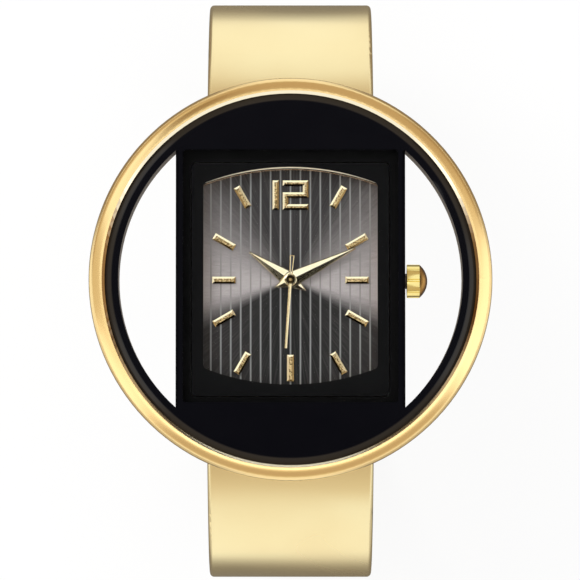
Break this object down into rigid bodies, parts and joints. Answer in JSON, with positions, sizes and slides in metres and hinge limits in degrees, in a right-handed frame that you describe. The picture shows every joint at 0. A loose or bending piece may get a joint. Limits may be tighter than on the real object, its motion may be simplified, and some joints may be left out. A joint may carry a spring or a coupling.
{
  "type": "cuff watch",
  "caption": "Open cuff wristwatch with a round ring case, two see-through windows, a central column with a quartz movement, and spring-hinged arms.",
  "frame": {"origin": "on the plane that the ends of the cuff stand on, under the axis of the hands", "axes": "+X to the crown at three o'clock, +Y to twelve o'clock, +Z out of the dial"},
  "size_m": [0.042, 0.0624, 0.0467],
  "materials": {
    "gold_plate": "polished gold plating on brass",
    "black_enamel": "glossy black enamel on metal",
    "window_glass": "clear flat mineral glass",
    "mask_black": "black printed mask",
    "gold_trim": "polished gold plating",
    "dial_grey": "grey sunray lacquer with light pinstripes",
    "gasket_rubber": "black nitrile rubber",
    "white_plastic": "moulded white plastic",
    "plate_plastic": "moulded dark plastic",
    "steel": "turned steel",
    "soft_iron": "annealed soft iron",
    "copper_wire": "enamelled copper wire",
    "wheel_brass": "stamped brass",
    "board_green": "green circuit board",
    "can_metal": "drawn metal can",
    "cell_steel": "nickel-plated cell",
    "back_steel": "brushed stainless steel",
    "spring_steel": "spring wire"
  },
  "bodies": {
    "case": {"outer_ring": "gold_plate", "case_frame": "black_enamel", "case_tube": "steel", "crystal": "window_glass", "window_mask": "mask_black", "dial_flange": "gold_trim", "dial": "dial_grey", "hour_markers": "gold_trim", "numeral_12": "gold_trim", "crystal_gasket": "gasket_rubber", "back_gasket": "gasket_rubber", "movement_holder": "white_plastic", "main_plate": "plate_plastic", "train_bridge": "steel", "bridge_screws": "steel", "coil": "copper_wire", "coil_core": "soft_iron", "stator": "soft_iron", "dial_washer": "wheel_brass", "circuit_board": "board_green", "quartz_crystal": "can_metal", "battery": "cell_steel", "battery_clamp": "steel", "case_back": "back_steel", "back_screws": "steel", "upper_hinge_pin": "steel", "lower_hinge_pin": "steel", "upper_hinge_spring": "spring_steel", "lower_hinge_spring": "spring_steel"},
    "upper_arm": {"upper_arm": "gold_plate"},
    "lower_arm": {"lower_arm": "gold_plate"},
    "clutch": {"clutch": "steel"},
    "stem": {"stem": "steel", "crown": "gold_plate", "crown_gasket": "gasket_rubber"},
    "setting_lever": {"setting_lever": "steel"},
    "seconds": {"fourth_wheel": "wheel_brass", "seconds_hand": "gold_trim"},
    "minute": {"cannon_pinion": "steel", "center_wheel": "wheel_brass", "minute_hand": "gold_trim"},
    "hour": {"hour_wheel": "wheel_brass", "hour_hand": "gold_trim"},
    "third_wheel": {"third_wheel": "wheel_brass"},
    "fifth_wheel": {"fifth_wheel": "wheel_brass"},
    "rotor": {"rotor": "steel"},
    "minute_wheel": {"minute_wheel": "wheel_brass"},
    "setting_wheel": {"setting_wheel": "steel"}
  },
  "joints": [
    {"name": "upper_arm_open", "type": "hinge", "parent": "case", "child": "upper_arm", "pos_m": [0, 0.0176, 0.0407], "axis": [1, 0, 0], "range_deg": [0, 25], "stiffness_Nm_per_rad": 0.08, "springref_deg": -20.05, "deforming": ["upper_hinge_spring"]},
    {"name": "lower_arm_open", "type": "hinge", "parent": "case", "child": "lower_arm", "pos_m": [0, -0.0176, 0.0407], "axis": [-1, 0, 0], "range_deg": [0, 25], "stiffness_Nm_per_rad": 0.08, "springref_deg": -20.05, "deforming": ["lower_hinge_spring"]},
    {"name": "crown_spin", "type": "hinge", "parent": "case", "child": "clutch", "pos_m": [0.004, 0, 0.04125], "axis": [1, 0, 0], "continuous": true},
    {"name": "crown_pull", "type": "slide", "parent": "clutch", "child": "stem", "axis": [1, 0, 0], "range_m": [0, 0.0009]},
    {"name": "setting_lever_turn", "type": "hinge", "parent": "case", "child": "setting_lever", "pos_m": [0.00645, 0.00299, 0.0419], "axis": [0, 0, 1], "range_deg": [0, 20]},
    {"name": "seconds_turn", "type": "hinge", "parent": "case", "child": "seconds", "pos_m": [0, 0, 0.0412], "axis": [0, 0, -1], "continuous": true},
    {"name": "minute_turn", "type": "hinge", "parent": "case", "child": "minute", "pos_m": [0, 0, 0.0412], "axis": [0, 0, -1], "continuous": true},
    {"name": "hour_turn", "type": "hinge", "parent": "case", "child": "hour", "pos_m": [0, 0, 0.0412], "axis": [0, 0, -1], "continuous": true},
    {"name": "third_wheel_turn", "type": "hinge", "parent": "case", "child": "third_wheel", "pos_m": [0.00131, -0.00156, 0.0412], "axis": [0, 0, -1], "continuous": true},
    {"name": "fifth_wheel_turn", "type": "hinge", "parent": "case", "child": "fifth_wheel", "pos_m": [-0.00116, 0.00138, 0.0412], "axis": [0, 0, -1], "continuous": true},
    {"name": "rotor_turn", "type": "hinge", "parent": "case", "child": "rotor", "pos_m": [-0.0017, 0.00286, 0.0412], "axis": [0, 0, -1], "continuous": true},
    {"name": "minute_wheel_turn", "type": "hinge", "parent": "case", "child": "minute_wheel", "pos_m": [0.00138, -0.00116, 0.0412], "axis": [0, 0, -1], "continuous": true},
    {"name": "setting_wheel_turn", "type": "hinge", "parent": "case", "child": "setting_wheel", "pos_m": [0.00299, 0, 0.0412], "axis": [0, 0, -1], "continuous": true}
  ],
  "couplings": [
    {"joint": "setting_lever_turn", "follows": "crown_pull", "rad_per_m": 384.62},
    {"joint": "minute_turn", "follows": "seconds_turn", "ratio": 0.016667},
    {"joint": "hour_turn", "follows": "seconds_turn", "ratio": 0.0013889},
    {"joint": "third_wheel_turn", "follows": "seconds_turn", "ratio": -0.13333},
    {"joint": "fifth_wheel_turn", "follows": "seconds_turn", "ratio": -5},
    {"joint": "rotor_turn", "follows": "seconds_turn", "ratio": 30},
    {"joint": "minute_wheel_turn", "follows": "seconds_turn", "ratio": -0.0055556},
    {"joint": "setting_wheel_turn", "follows": "seconds_turn", "ratio": 0.011905}
  ]
}
